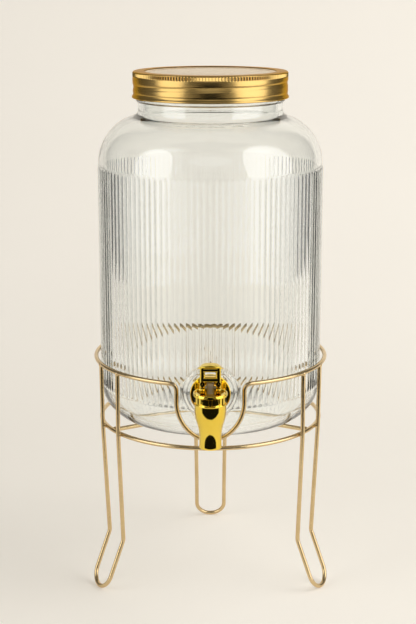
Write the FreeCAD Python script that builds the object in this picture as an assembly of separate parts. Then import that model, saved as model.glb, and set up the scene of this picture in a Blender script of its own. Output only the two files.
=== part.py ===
import FreeCAD
import Part
import math
import os

# A ribbed glass drinks dispenser on a bent-wire stand, with a two-piece screw lid and a lever tap.
# Millimetres, +Z up. The origin is on the jar's axis at floor level, and the tap faces -Y.
# Angles of things round the jar are counted from the front, -Y, towards +X.

# Stand: welded round wire. Ring heights are those of the wire's centre line.
wire_diameter = 4.0
lower_ring_height = 154.6
ring_spacing = 60.4
upper_ring_gap = 2.4
lower_ring_inset = 4.4
weld_gap = 0.05

# Dip in the front of the upper ring, where the tap passes
dip_clearance = 5.8
dip_below_tap = 42.5
dip_corner_radius = 6.0
dip_straight_drop = 11.0
dip_side_turn = 40.8

# Hairpin legs: the spacing of the two wires, and how far the ankle and the toe stand out
leg_angles = {"leg_left": -60.0, "leg_right": 60.0, "leg_rear": 180.0}
leg_top_spacing = 34.0
leg_waist_radius = 150.0
leg_ankle_spacing = 29.0
leg_ankle_inset = 1.6
leg_ankle_height = 49.3
leg_ankle_radius = 10.0
foot_kick = 18.9
toe_straight = 0.03
weld_depth = 1.0

# Glass jar
jar_seat_gap = 0.3
jar_radius = 104.2
jar_height = 323.9
jar_wall = 4.5
jar_base = 8.0
jar_heel_radius = 32.0
foot_ring_width = 12.2
punt_height = 3.0
shoulder_height = 44.35
neck_length = 37.0
neck_radius = 66.8
neck_wall = 5.8
bead_proud = 2.0
bead_height = 3.6
finish_proud = 0.8
finish_length = 21.6
rim_edge = 1.2

# Ribs pressed on the outside of the wall
rib_count = 120
rib_height = 0.8
rib_root = 0.1
rib_end_run = 3.0
rib_end_margin = 1.0

# Smooth boss and hole for the tap
boss_radius = 22.5
boss_proud = 1.4
boss_edge = 1.0
tap_hole_height = 50.2
tap_hole_clearance = 0.4

# Tap body
shank_radius = 7.8
shank_past_nut = 3.0
inlet_wall = 1.2
outer_washer_radius = 15.0
outer_washer_thickness = 2.0
inner_washer_radius = 14.0
inner_washer_thickness = 2.0
nut_across_flats = 24.0
nut_thickness = 7.0
thread_clearance = 0.05
flange_radius = 18.05
flange_thickness = 3.2
flange_rim = 1.6
flange_dish = 1.4
neck_root_radius = 9.6
neck_clearance = 0.1
tap_reach = 26.0
barrel_rise = 5.5
barrel_radius = 13.95
barrel_wall = 3.15
band_height = 6.5
band_recess = 0.5
band_edge = 0.9
band_rib_pairs = 8
band_rib_width = 0.7
band_rib_depth = 1.5
band_rib_half_angle = 8.0
taper_top_drop = 7.3
taper_length = 21.5
seat_below_taper = 7.7
spout_radius = 9.45
spout_length = 13.3
spout_wall = 2.45

# Bonnet on the barrel
bonnet_overhang = 1.05
bonnet_thickness = 2.9
bonnet_rim = 1.5
bonnet_dish = 0.8
bonnet_spigot = 1.8
bonnet_fit = 0.05
rim_notch_angle = 52.0
rim_notch_width = 2.2

# Plunger
stem_radius = 3.5
stem_clearance = 0.08
seat_gap = 0.2
cup_clearance = 1.0
cup_height = 5.0
cup_socket = 3.5
cup_nose_length = 1.6
cup_nose_clearance = 0.5
cup_collar = 3.2
pin_radius = 1.5
pin_clearance = 0.06

# Lever: it lifts the plunger by plunger_lift over its swing, at a constant rate
lever_swing = 80.0
plunger_lift = 3.0
cam_base = 4.85
cam_gap = 0.2
lever_width = 18.5
lever_slot = 9.2
heel_reach = 4.6
post_front = 4.5
post_back = 3.5
toe_height = 1.6
cross_bar_bottom = 5.4
cross_bar_top = 10.3
window_top = 14.6
paddle_base = 17.1
post_overlap = 1.5
paddle_half_width = 11.7
paddle_crown = 4.4
paddle_hollow = 2.0
paddle_front = 6.5
paddle_back = 6.5
paddle_tip = 2.0
paddle_lobe = 4.5
paddle_notch = 1.2
paddle_bulge = 1.0
pocket_height = 4.0
pocket_radius = 2.4
pocket_depth = 2.4
pocket_pin_radius = 0.8

# Lid
lid_seat_gap = 0.1
lid_play = 0.1
lid_clearance = 3.3
gasket_thickness = 1.2
gasket_inset = 0.6
gasket_overhang = 0.8
disc_play = 1.7
disc_thickness = 0.6
lid_sheet = 0.6
lid_wall_length = 24.2
lid_bead_proud = 0.9
lid_bead_height = 1.8
lip_width = 10.8
lip_corner_radius = 1.3

# Radii that follow from the sizes above
V = FreeCAD.Vector
UP = V(0, 0, 1)
wire_radius = wire_diameter / 2
upper_ring_radius = jar_radius + rib_height + upper_ring_gap + wire_radius
lower_ring_radius = upper_ring_radius - lower_ring_inset
jar_inside = jar_radius - jar_wall
mouth_radius = neck_radius - neck_wall
finish_radius = neck_radius + finish_proud
bonnet_radius = barrel_radius + bonnet_overhang
chamber_radius = barrel_radius - barrel_wall
outlet_radius = spout_radius - spout_wall
neck_end_radius = barrel_rise - neck_clearance
lid_inside = finish_radius + lid_clearance
lid_wall_radius = lid_inside + lid_sheet
cam_rate = plunger_lift / math.radians(lever_swing)

# Heights above the floor
upper_ring_height = lower_ring_height + ring_spacing
jar_bottom = lower_ring_height + wire_radius + jar_seat_gap
jar_rim = jar_bottom + jar_height
heel_top = jar_bottom + jar_heel_radius
wall_top = jar_rim - neck_length - shoulder_height
tap_axis = jar_bottom + tap_hole_height
taper_top = tap_axis - taper_top_drop
taper_bottom = taper_top - taper_length
spout_end = taper_bottom - spout_length
valve_seat = taper_top - seat_below_taper
cup_bottom = valve_seat + seat_gap
bonnet_seat = tap_axis + barrel_rise
bonnet_plate = bonnet_seat + bonnet_thickness - bonnet_dish
pin_axis = bonnet_plate + cam_gap + cam_base
gasket_bottom = jar_rim + lid_seat_gap
disc_bottom = gasket_bottom + gasket_thickness
lid_top = disc_bottom + disc_thickness + lid_play + lid_sheet

# Distances from the jar's axis along the tap's shank
boss_face = jar_radius + boss_proud
flange_back = boss_face + outer_washer_thickness
flange_front = flange_back + flange_thickness
barrel_distance = boss_face + tap_reach
nut_face = math.sqrt(jar_inside ** 2 - inner_washer_radius ** 2) - inner_washer_thickness
shank_end = nut_face - nut_thickness - shank_past_nut


def polar(radius, angle, z=0.0):
    """Point at a radius and an angle from the front."""
    turn = math.radians(angle)
    return V(radius * math.sin(turn), -radius * math.cos(turn), z)


def outline(start, steps, place=lambda a, b: V(a, 0, b)):
    """Closed face. A step is an end point, or a (through, end) pair for an arc."""
    edges = []
    here = place(*start)
    for step in steps:
        if isinstance(step[0], tuple):
            end = place(*step[1])
            edges.append(Part.Arc(here, place(*step[0]), end).toShape())
        else:
            end = place(*step)
            edges.append(Part.LineSegment(here, end).toShape())
        here = end
    if not here.isEqual(place(*start), 1e-6):
        edges.append(Part.LineSegment(here, place(*start)).toShape())
    return Part.Face(Part.Wire(edges))


def turned(start, steps):
    """Solid of revolution about Z of an outline given as (radius, height) points."""
    return outline(start, steps).revolve(V(0, 0, 0), UP, 360)


def on_barrel(shape):
    """Move a shape made about Z to the tap's barrel."""
    return shape.translated(V(0, -barrel_distance, 0))


def on_shank(shape):
    """Lay a shape made about Z along the tap's shank, so that its Z is the distance from the jar's axis."""
    return shape.rotated(V(0, 0, 0), V(1, 0, 0), 90).translated(V(0, 0, tap_axis))


def arc_point(centre, radius, angle):
    """(a, b) point on a circle, its angle in radians from the first axis."""
    return (centre[0] + radius * math.cos(angle), centre[1] + radius * math.sin(angle))


def rounded_path(corners):
    """Wire through (point, radius) corners: straight runs joined by tangent arcs."""
    edges = []
    here = corners[0][0]
    for i in range(1, len(corners) - 1):
        point, radius = corners[i]
        before = (point - corners[i - 1][0]).normalize()
        after = (corners[i + 1][0] - point).normalize()
        half_turn = before.getAngle(after) / 2
        inward = (after - before).normalize()
        start = point - before * (radius * math.tan(half_turn))
        end = point + after * (radius * math.tan(half_turn))
        middle = point + inward * (radius / math.cos(half_turn) - radius)
        edges.append(Part.LineSegment(here, start).toShape())
        edges.append(Part.Arc(start, middle, end).toShape())
        here = end
    edges.append(Part.LineSegment(here, corners[-1][0]).toShape())
    return Part.Wire(edges)


def bent_wire(path):
    """Round wire along a path."""
    first = path.Edges[0]
    start = first.valueAt(first.FirstParameter)
    section = Part.Circle(start, first.tangentAt(first.FirstParameter), wire_radius)
    return path.makePipeShell([Part.Wire(section.toShape())], True, False)


def lower_ring():
    return Part.makeTorus(lower_ring_radius, wire_radius).translated(V(0, 0, lower_ring_height))


def upper_ring():
    """Hoop whose front drops in a U: small corner bends, straight sides, then side and bottom arcs."""
    half_width = boss_radius + dip_clearance + wire_radius
    dip_bottom = tap_axis - dip_below_tap
    reach = math.hypot(upper_ring_radius, dip_corner_radius)
    gap_angle = math.asin(half_width / reach) + math.atan(dip_corner_radius / upper_ring_radius)
    dip_plane = -math.sqrt(reach ** 2 - half_width ** 2)
    side_turn = math.radians(dip_side_turn)
    cos_turn = math.cos(side_turn)
    sin_turn = math.sin(side_turn)
    arc_top = upper_ring_height - dip_straight_drop
    arc_drop = arc_top - dip_bottom
    share = cos_turn + sin_turn - 1
    side_radius = (arc_drop * cos_turn - half_width * (1 - sin_turn)) / share
    bottom_radius = (half_width * sin_turn - arc_drop * (1 - cos_turn)) / share
    side_centre = (half_width - side_radius, arc_top)
    bottom_centre = (0.0, dip_bottom + bottom_radius)

    def in_dip(side, point):
        return V(side * point[0], dip_plane, point[1])

    def half(side):
        hoop_turn = side * math.degrees(gap_angle)
        hoop_back = polar(upper_ring_radius, 180, upper_ring_height)
        hoop_side = polar(upper_ring_radius, side * 90 + hoop_turn / 2, upper_ring_height)
        hoop_end = polar(upper_ring_radius, hoop_turn, upper_ring_height)
        inward = V(-side * math.cos(gap_angle), -math.sin(gap_angle), 0)
        bend = math.sqrt(0.5) * dip_corner_radius
        corner_middle = hoop_end + inward * bend - UP * (dip_corner_radius - bend)
        side_top = in_dip(side, (half_width, upper_ring_height - dip_corner_radius))
        side_start = in_dip(side, (half_width, arc_top))
        side_middle = in_dip(side, arc_point(side_centre, side_radius, -side_turn / 2))
        side_end = in_dip(side, arc_point(side_centre, side_radius, -side_turn))
        bottom_middle = in_dip(side, arc_point(bottom_centre, bottom_radius, -(side_turn + math.pi / 2) / 2))
        bottom_end = in_dip(side, (0.0, dip_bottom))
        return bent_wire(Part.Wire([
            Part.Arc(hoop_back, hoop_side, hoop_end).toShape(),
            Part.Arc(hoop_end, corner_middle, side_top).toShape(),
            Part.LineSegment(side_top, side_start).toShape(),
            Part.Arc(side_start, side_middle, side_end).toShape(),
            Part.Arc(side_end, bottom_middle, bottom_end).toShape(),
        ]))

    return half(1).fuse(half(-1)).removeSplitter()


def hairpin_leg(angle, ring):
    """One wire: up one side, round the foot loop and up the other, coped to the ring above it."""
    outward = polar(1, angle)
    across = V(-outward.y, outward.x, 0)
    top_reach = math.sqrt(upper_ring_radius ** 2 - (leg_top_spacing / 2) ** 2)
    waist_share = (lower_ring_height - leg_ankle_height) / (upper_ring_height - leg_ankle_height)
    waist_spacing = leg_ankle_spacing + waist_share * (leg_top_spacing - leg_ankle_spacing)
    waist_distance = lower_ring_radius + wire_diameter + weld_gap
    waist_reach = math.sqrt(waist_distance ** 2 - (waist_spacing / 2) ** 2)
    ankle_reach = lower_ring_radius - leg_ankle_inset
    toe_reach = ankle_reach + foot_kick
    loop_radius = (leg_ankle_spacing - toe_straight) / 2

    def corner(spacing, reach, z, side, radius):
        return (outward * reach + across * (side * spacing / 2) + UP * z, radius)

    def half(side):
        return [
            corner(leg_top_spacing, top_reach, upper_ring_height - weld_depth, side, 0),
            corner(waist_spacing, waist_reach, lower_ring_height, side, leg_waist_radius),
            corner(leg_ankle_spacing, ankle_reach, leg_ankle_height, side, leg_ankle_radius),
            corner(leg_ankle_spacing, toe_reach, wire_radius, side, loop_radius),
        ]

    return bent_wire(rounded_path(half(-1) + half(1)[::-1])).cut(ring)


def spoke(angle, ring):
    """Bar from the lower ring to the centre, mitred there against the other two."""
    bar = Part.makeCylinder(wire_radius, lower_ring_radius, V(0, 0, lower_ring_height), polar(1, angle))
    far = 2 * lower_ring_radius
    low = V(0, 0, lower_ring_height - wire_diameter)
    corners = [low, low + polar(far, angle - 60), low + polar(far, angle), low + polar(far, angle + 60), low]
    wedge = Part.Face(Part.makePolygon(corners)).extrude(UP * (2 * wire_diameter))
    return bar.common(wedge).cut(ring)


def glass_jar():
    """Turned outside with ribs and boss added, then the inside and the tap hole taken out."""
    neck_step = jar_radius - neck_radius
    shoulder_radius = (neck_step ** 2 + shoulder_height ** 2) / (2 * neck_step)
    centre = (jar_radius - shoulder_radius, wall_top)
    neck_turn = math.acos((neck_radius - centre[0]) / shoulder_radius)
    neck_root = jar_rim - neck_length
    bead_top = jar_rim - finish_length
    bead_bottom = bead_top - bead_height
    heel = (jar_radius - jar_heel_radius, heel_top)
    punt_radius = heel[0] - foot_ring_width
    dome = (punt_radius ** 2 + punt_height ** 2) / (2 * punt_height)
    dome_middle = jar_bottom + punt_height - dome + math.sqrt(dome ** 2 - punt_radius ** 2 / 4)
    outside = turned((0, jar_bottom + punt_height), [
        ((punt_radius / 2, dome_middle), (punt_radius, jar_bottom)),
        (heel[0], jar_bottom),
        (arc_point(heel, jar_heel_radius, -math.pi / 4), (jar_radius, heel_top)),
        (jar_radius, wall_top),
        (arc_point(centre, shoulder_radius, neck_turn / 2), (neck_radius, neck_root)),
        (neck_radius, bead_bottom),
        ((neck_radius + bead_proud, (bead_bottom + bead_top) / 2), (finish_radius, bead_top)),
        (finish_radius, jar_rim - rim_edge),
        (finish_radius - rim_edge, jar_rim),
        (0, jar_rim),
    ])
    inner_radius = shoulder_radius - jar_wall
    mouth_turn = math.acos((mouth_radius - centre[0]) / inner_radius)
    inner_heel_radius = jar_heel_radius - jar_wall
    floor = jar_bottom + jar_base
    inner_heel = (heel[0], floor + inner_heel_radius)
    inside = turned((0, floor), [
        (heel[0], floor),
        (arc_point(inner_heel, inner_heel_radius, -math.pi / 4), (jar_inside, inner_heel[1])),
        (jar_inside, wall_top),
        (arc_point(centre, inner_radius, mouth_turn / 2), arc_point(centre, inner_radius, mouth_turn)),
        (mouth_radius, jar_rim - rim_edge),
        (mouth_radius + 2 * rim_edge, jar_rim + rim_edge),
        (0, jar_rim + rim_edge),
    ])
    boss = turned((0, jar_inside), [
        (boss_radius, jar_inside),
        (boss_radius, boss_face - boss_edge),
        (boss_radius - boss_edge, boss_face),
        (0, boss_face),
    ])
    hole = Part.makeCylinder(shank_radius + tap_hole_clearance, boss_face + jar_wall)
    blank = outside.multiFuse([reeded_wall(), on_shank(boss)])
    return blank.cut([inside, on_shank(hole)])


def reeded_wall():
    """Sleeve of convex reeds side by side. Cones cut both ends, so that each reed dies away in an arch."""
    crown = jar_radius + rib_height
    root = jar_radius + rib_root
    pitch = 360.0 / rib_count
    valleys = [polar(root, i * pitch) for i in range(rib_count + 1)]
    crowns = [polar(crown, (i + 0.5) * pitch) for i in range(rib_count)]
    arcs = [Part.Arc(a, b, c).toShape() for a, b, c in zip(valleys, crowns, valleys[1:])]
    low = heel_top + rib_end_margin - rib_end_run
    high = wall_top - rib_end_margin + rib_end_run
    sleeve = Part.Face(Part.Wire(arcs)).extrude(UP * (high - low)).translated(V(0, 0, low))
    cone_run = 3 * rib_end_run
    ends = turned((0, low), [
        (jar_radius - rib_height, low),
        (crown + rib_height, low + cone_run),
        (crown + rib_height, high - cone_run),
        (jar_radius - rib_height, high),
        (0, high),
    ])
    return sleeve.common(ends)


def tap_body():
    """Barrel, flange and shank in one piece, bored through from the jar to the spout."""
    band_low = bonnet_seat - band_height
    step = barrel_radius - spout_radius
    ogee = (taper_length ** 2 + step ** 2) / (4 * step)
    half_turn = math.asin(taper_length / 2 / ogee) / 2
    upper = (barrel_radius - ogee, taper_top)
    lower = (spout_radius + ogee, taper_bottom)
    waist = ((barrel_radius + spout_radius) / 2, (taper_top + taper_bottom) / 2)
    barrel = turned((0, bonnet_seat), [
        (barrel_radius - band_recess, bonnet_seat),
        (barrel_radius - band_recess, band_low),
        (barrel_radius + band_recess, band_low),
        (barrel_radius + band_recess, band_low - band_edge),
        (barrel_radius, band_low - band_edge - band_recess),
        (barrel_radius, taper_top),
        (arc_point(upper, ogee, -half_turn), waist),
        (arc_point(lower, ogee, math.pi - half_turn), (spout_radius, taper_bottom)),
        (spout_radius, spout_end),
        (0, spout_end),
    ])
    flange = turned((0, shank_end), [
        (shank_radius, shank_end),
        (shank_radius, flange_back),
        (flange_radius, flange_back),
        (flange_radius, flange_front),
        (flange_radius - flange_rim, flange_front),
        (neck_root_radius, flange_front - flange_dish),
        (neck_end_radius, barrel_distance - bonnet_radius),
        (neck_end_radius, barrel_distance),
        (0, barrel_distance),
    ])
    inlet_radius = neck_end_radius - inlet_wall
    inlet = Part.makeCylinder(inlet_radius, barrel_distance - shank_end, V(0, 0, shank_end))
    bore = turned((0, spout_end), [
        (outlet_radius, spout_end),
        (outlet_radius, valve_seat),
        (chamber_radius, valve_seat),
        (chamber_radius, bonnet_seat),
        (0, bonnet_seat),
    ])
    body = on_barrel(barrel).multiFuse([on_shank(flange)] + [on_barrel(rib) for rib in band_ribs()])
    return body.cut([on_shank(inlet), on_barrel(bore)])


def band_ribs():
    """Pairs of upright ribs round the panelled band, one pair facing forward."""
    corner = V(-band_rib_width / 2, -barrel_radius - band_recess, bonnet_seat - band_height)
    rib = Part.makeBox(band_rib_width, band_rib_depth, band_height, corner)
    angles = [360.0 / band_rib_pairs * i + side * band_rib_half_angle
              for i in range(band_rib_pairs) for side in (-1, 1)]
    return [rib.rotated(V(0, 0, 0), UP, angle) for angle in angles]


def tap_bonnet():
    """Cap with a short spigot, a shallow dish for the cam feet and two notches in its rim."""
    hole = stem_radius + stem_clearance
    spigot = chamber_radius - bonnet_fit
    top = bonnet_seat + bonnet_thickness
    cap = turned((hole, bonnet_seat - bonnet_spigot), [
        (spigot, bonnet_seat - bonnet_spigot),
        (spigot, bonnet_seat),
        (bonnet_radius, bonnet_seat),
        (bonnet_radius, top),
        (bonnet_radius - bonnet_rim, top),
        (bonnet_radius - bonnet_rim, bonnet_plate),
        (hole, bonnet_plate),
    ])
    notch = Part.makeBox(rim_notch_width, 2 * bonnet_rim, bonnet_dish,
                         V(-rim_notch_width / 2, -bonnet_radius - bonnet_rim / 2, bonnet_plate))
    notches = [notch.rotated(V(0, 0, 0), UP, side * rim_notch_angle) for side in (-1, 1)]
    return on_barrel(cap.cut(notches))


def outer_washer():
    ring = Part.makeCylinder(outer_washer_radius, outer_washer_thickness, V(0, 0, boss_face))
    hole = Part.makeCylinder(shank_radius + thread_clearance, flange_back)
    return on_shank(ring.cut(hole))


def inner_washer():
    """Ring whose outer side follows the inside of the wall."""
    ring = Part.makeCylinder(inner_washer_radius, jar_radius - nut_face, V(0, 0, nut_face))
    hole = Part.makeCylinder(shank_radius + thread_clearance, jar_radius)
    wall = Part.makeCylinder(jar_inside, jar_height, V(0, 0, jar_bottom))
    return on_shank(ring.cut(hole)).common(wall)


def lock_nut():
    radius = nut_across_flats / math.sqrt(3)
    start = nut_face - nut_thickness
    corners = [V(radius * math.cos(math.radians(60 * i)), radius * math.sin(math.radians(60 * i)), start)
               for i in range(7)]
    blank = Part.Face(Part.makePolygon(corners)).extrude(UP * nut_thickness)
    return on_shank(blank.cut(Part.makeCylinder(shank_radius + thread_clearance, nut_face)))


def plunger_stem():
    """Rod from the seat cup to a dome round the lever's pin, cross-drilled for it."""
    rod = turned((0, cup_bottom + cup_height - cup_socket), [
        (stem_radius, cup_bottom + cup_height - cup_socket),
        (stem_radius, pin_axis),
        (arc_point((0, pin_axis), stem_radius, math.pi / 4), (0, pin_axis + stem_radius)),
    ])
    return on_barrel(rod.cut(cross_pin(pin_radius)))


def cross_pin(radius):
    """Cylinder across the lever, on the axis that it turns about."""
    return Part.makeCylinder(radius, lever_width, V(-lever_width / 2, 0, pin_axis), V(1, 0, 0))


def lever_pin():
    return on_barrel(cross_pin(pin_radius))


def seat_cup():
    """Soft plug: a disc that closes on the seat, with a nose in the outlet and a socket for the stem."""
    nose = outlet_radius - cup_nose_clearance
    rim = chamber_radius - cup_clearance
    top = cup_bottom + cup_height
    return on_barrel(turned((0, cup_bottom - cup_nose_length), [
        (nose - cup_nose_length, cup_bottom - cup_nose_length),
        (nose, cup_bottom),
        (rim, cup_bottom),
        (rim, cup_bottom + cup_height / 2),
        (stem_radius + cup_collar, top),
        (stem_radius, top),
        (stem_radius, top - cup_socket),
        (0, top - cup_socket),
    ]))


def cam_point(angle):
    """(forward, up) point from the pin where the cam bears after a turn of angle: its support distance grows
    in step with the turn, which is the involute of a circle of radius cam_rate."""
    distance = cam_base + cam_rate * angle
    return (distance * math.sin(angle) + cam_rate * math.cos(angle),
            cam_rate * math.sin(angle) - distance * math.cos(angle))


def lever_arm():
    """Side plate of the lever: cam foot, toe and post, as an outline in the plane across the pin."""
    swing = math.radians(lever_swing)
    cam_steps = 8

    def place(forward, up):
        return V(-lever_width / 2, -forward, pin_axis + up)

    cam = Part.BSplineCurve()
    cam.interpolate([place(*cam_point(swing * i / cam_steps)) for i in range(cam_steps + 1)])
    post_top = paddle_base + post_overlap
    rest = [place(*cam_point(swing)), place(post_front, toe_height), place(post_front, post_top),
            place(-post_back, post_top), place(-heel_reach, 0), place(-heel_reach, -cam_base),
            place(*cam_point(0))]
    edges = [Part.LineSegment(a, b).toShape() for a, b in zip(rest, rest[1:])]
    face = Part.Face(Part.Wire([cam.toShape()] + edges))
    return face.extrude(V((lever_width - lever_slot) / 2, 0, 0))


def paddle():
    """Bow-shaped thumb piece: a crescent seen from the front, with two lobes at the back seen from above."""
    base = pin_axis + paddle_base
    left = (-paddle_half_width, base)
    right = (paddle_half_width, base)
    bow = outline(left, [
        ((0, base + paddle_crown), right),
        ((0, base + paddle_hollow), left),
    ], lambda x, z: V(x, -paddle_front, z))
    tip = (paddle_half_width, -paddle_tip)
    lobe = (paddle_lobe, paddle_back)
    shoulder = ((tip[0] + lobe[0]) / 2 + paddle_bulge, (tip[1] + lobe[1]) / 2 + paddle_bulge)
    plan = outline((-tip[0], tip[1]), [
        ((0, -paddle_front), tip),
        (shoulder, lobe),
        ((0, paddle_back - paddle_notch), (-lobe[0], lobe[1])),
        ((-shoulder[0], shoulder[1]), (-tip[0], tip[1])),
    ], lambda x, y: V(x, y, base))
    return bow.extrude(V(0, paddle_front + paddle_back, 0)).common(plan.extrude(UP * paddle_crown))


def tap_lever():
    """Two cam-footed arms joined by a cross bar, a top bar and the thumb piece, drilled for the pin."""
    arm = lever_arm()

    def bar(low, high):
        corner = V(-lever_slot / 2, -post_front, pin_axis + low)
        return Part.makeBox(lever_slot, post_front + post_back, high - low, corner)

    bars = [bar(cross_bar_bottom, cross_bar_top), bar(window_top, paddle_base + paddle_hollow)]
    solid = arm.multiFuse([arm.mirror(V(0, 0, 0), V(1, 0, 0)), paddle()] + bars)
    cuts = [cross_pin(pin_radius + pin_clearance)]
    for side in (-1, 1):
        mouth = V(side * (lever_width + lever_slot) / 4, -post_front, pin_axis + pocket_height)
        pocket = Part.makeCylinder(pocket_radius, pocket_depth, mouth, V(0, 1, 0))
        cuts.append(pocket.cut(Part.makeCylinder(pocket_pin_radius, pocket_depth, mouth, V(0, 1, 0))))
    return on_barrel(solid.cut(cuts).removeSplitter())


def lid_gasket():
    """Flat ring between the insert and the rim of the jar."""
    radius = finish_radius + gasket_overhang
    ring = Part.makeCylinder(radius, gasket_thickness, V(0, 0, gasket_bottom))
    return ring.cut(Part.makeCylinder(mouth_radius + gasket_inset, disc_bottom))


def lid_disc():
    return Part.makeCylinder(lid_inside - disc_play, disc_thickness, V(0, 0, disc_bottom))


def lid_band():
    """Rolled sheet: a flat lip over the insert, a round corner, a straight wall and a curled bead."""
    low = lid_top - lid_wall_length
    bead_top = low + lid_bead_height
    bead_radius = lid_wall_radius + lid_bead_proud
    lip_radius = lid_wall_radius - lip_width
    corner = lip_corner_radius * (1 - math.sqrt(0.5))
    return turned((lip_radius, lid_top - lid_sheet), [
        (lip_radius, lid_top),
        (lid_wall_radius - lip_corner_radius, lid_top),
        ((lid_wall_radius - corner, lid_top - corner), (lid_wall_radius, lid_top - lip_corner_radius)),
        (lid_wall_radius, bead_top + lid_bead_proud),
        (bead_radius, bead_top),
        (bead_radius, low),
        (lid_inside, low),
        (lid_inside, lid_top - lid_sheet),
    ])


def build():
    hoop = upper_ring()
    base_hoop = lower_ring()
    parts = {"upper_ring": hoop, "lower_ring": base_hoop}
    for name, angle in leg_angles.items():
        parts[name] = hairpin_leg(angle, hoop)
        parts[name.replace("leg", "spoke")] = spoke(angle, base_hoop)
    for make in (glass_jar, tap_body, tap_bonnet, outer_washer, inner_washer, lock_nut,
                 plunger_stem, seat_cup, lever_pin, tap_lever, lid_band, lid_disc, lid_gasket):
        parts[make.__name__] = make()
    return parts


os.makedirs("parts", exist_ok=True)
for node, shape in build().items():
    shape.exportStep("parts/" + node + ".step")
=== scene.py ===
import bmesh
import bpy
import numpy as np
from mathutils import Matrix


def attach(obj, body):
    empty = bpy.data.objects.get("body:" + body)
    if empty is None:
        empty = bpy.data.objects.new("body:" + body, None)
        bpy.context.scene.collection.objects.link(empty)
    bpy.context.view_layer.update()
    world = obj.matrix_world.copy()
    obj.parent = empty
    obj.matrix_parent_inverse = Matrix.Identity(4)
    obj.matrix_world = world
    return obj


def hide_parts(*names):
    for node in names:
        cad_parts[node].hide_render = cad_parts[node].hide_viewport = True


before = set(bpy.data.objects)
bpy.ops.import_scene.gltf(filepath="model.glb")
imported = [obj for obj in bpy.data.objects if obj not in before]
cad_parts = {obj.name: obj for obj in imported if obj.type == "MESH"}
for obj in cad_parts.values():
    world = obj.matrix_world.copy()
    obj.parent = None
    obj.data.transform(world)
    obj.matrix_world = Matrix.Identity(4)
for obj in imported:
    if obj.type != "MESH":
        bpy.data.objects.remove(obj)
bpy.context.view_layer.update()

# Lower hoop of the stand. 4 mm steel wire rolled into a ring and butt-welded; it ties the legs together and
# carries the spokes. The whole stand is lacquered in a satin champagne gold after welding.
MM = 0.001
WIRE_RADIUS = 2.0
LOWER_RADIUS, LOWER_HEIGHT = 105.0, 154.6
UPRIGHT, LEVEL = np.array([0.0, 0.0, 1.0]), np.array([1, 1, 0])
MERGE_DISTANCE, FLAT_EDGE = 2e-6, 1e-7


def around(radius, degrees, z):
    """Points at a radius and an angle from the front, -Y, counted towards +X."""
    turn = np.radians(degrees)
    return np.stack(np.broadcast_arrays(radius * np.sin(turn), -radius * np.cos(turn), z), -1)


def tube(path, reference, count=20):
    """Round wire: circles of the wire's radius across the path, turned so that one diameter stays square to a
    reference direction. The first and the last row close the ends in a flat cap."""
    along = np.gradient(path, axis=0)
    along /= np.linalg.norm(along, axis=1, keepdims=True)
    across = np.cross(along, reference)
    across /= np.linalg.norm(across, axis=1, keepdims=True)
    third = np.cross(across, along)
    s = np.linspace(0, 2 * np.pi, count, endpoint=False)[None, :, None]
    rings = path[:, None] + WIRE_RADIUS * (across[:, None] * np.cos(s) + third[:, None] * np.sin(s))
    head = np.repeat(path[:1, None], count, 1)
    tail = np.repeat(path[-1:, None], count, 1)
    return np.concatenate([head, rings, tail])


def piece(name, grids, material, body, nodes=(), sharp=35.0):
    """One mesh from grids of points in millimetres, each rows x columns, closed round its columns.
    Rows that meet in a point are merged, and edges sharper than the angle stay sharp."""
    corners, quads, base = [], [], 0
    for grid in grids:
        rows, columns = grid.shape[:2]
        index = base + np.arange(rows * columns).reshape(rows, columns)
        right = np.roll(index, -1, 1)
        quads.append(np.stack([index[:-1], right[:-1], right[1:], index[1:]], -1).reshape(-1, 4))
        corners.append(grid.reshape(-1, 3) * MM)
        base += rows * columns
    mesh = bpy.data.meshes.new(name)
    mesh.from_pydata(np.concatenate(corners).tolist(), [], np.concatenate(quads).tolist())
    work = bmesh.new()
    work.from_mesh(mesh)
    bmesh.ops.remove_doubles(work, verts=work.verts, dist=MERGE_DISTANCE)
    bmesh.ops.dissolve_degenerate(work, edges=work.edges, dist=FLAT_EDGE)
    bmesh.ops.recalc_face_normals(work, faces=work.faces)
    work.to_mesh(mesh)
    work.free()
    mesh.shade_smooth()
    mesh.set_sharp_from_angle(angle=np.radians(sharp))
    thing = bpy.data.objects.new(name, mesh)
    bpy.context.scene.collection.objects.link(thing)
    mesh.materials.append(material)
    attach(thing, body)
    if nodes:
        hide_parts(*nodes)
    return thing


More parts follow.
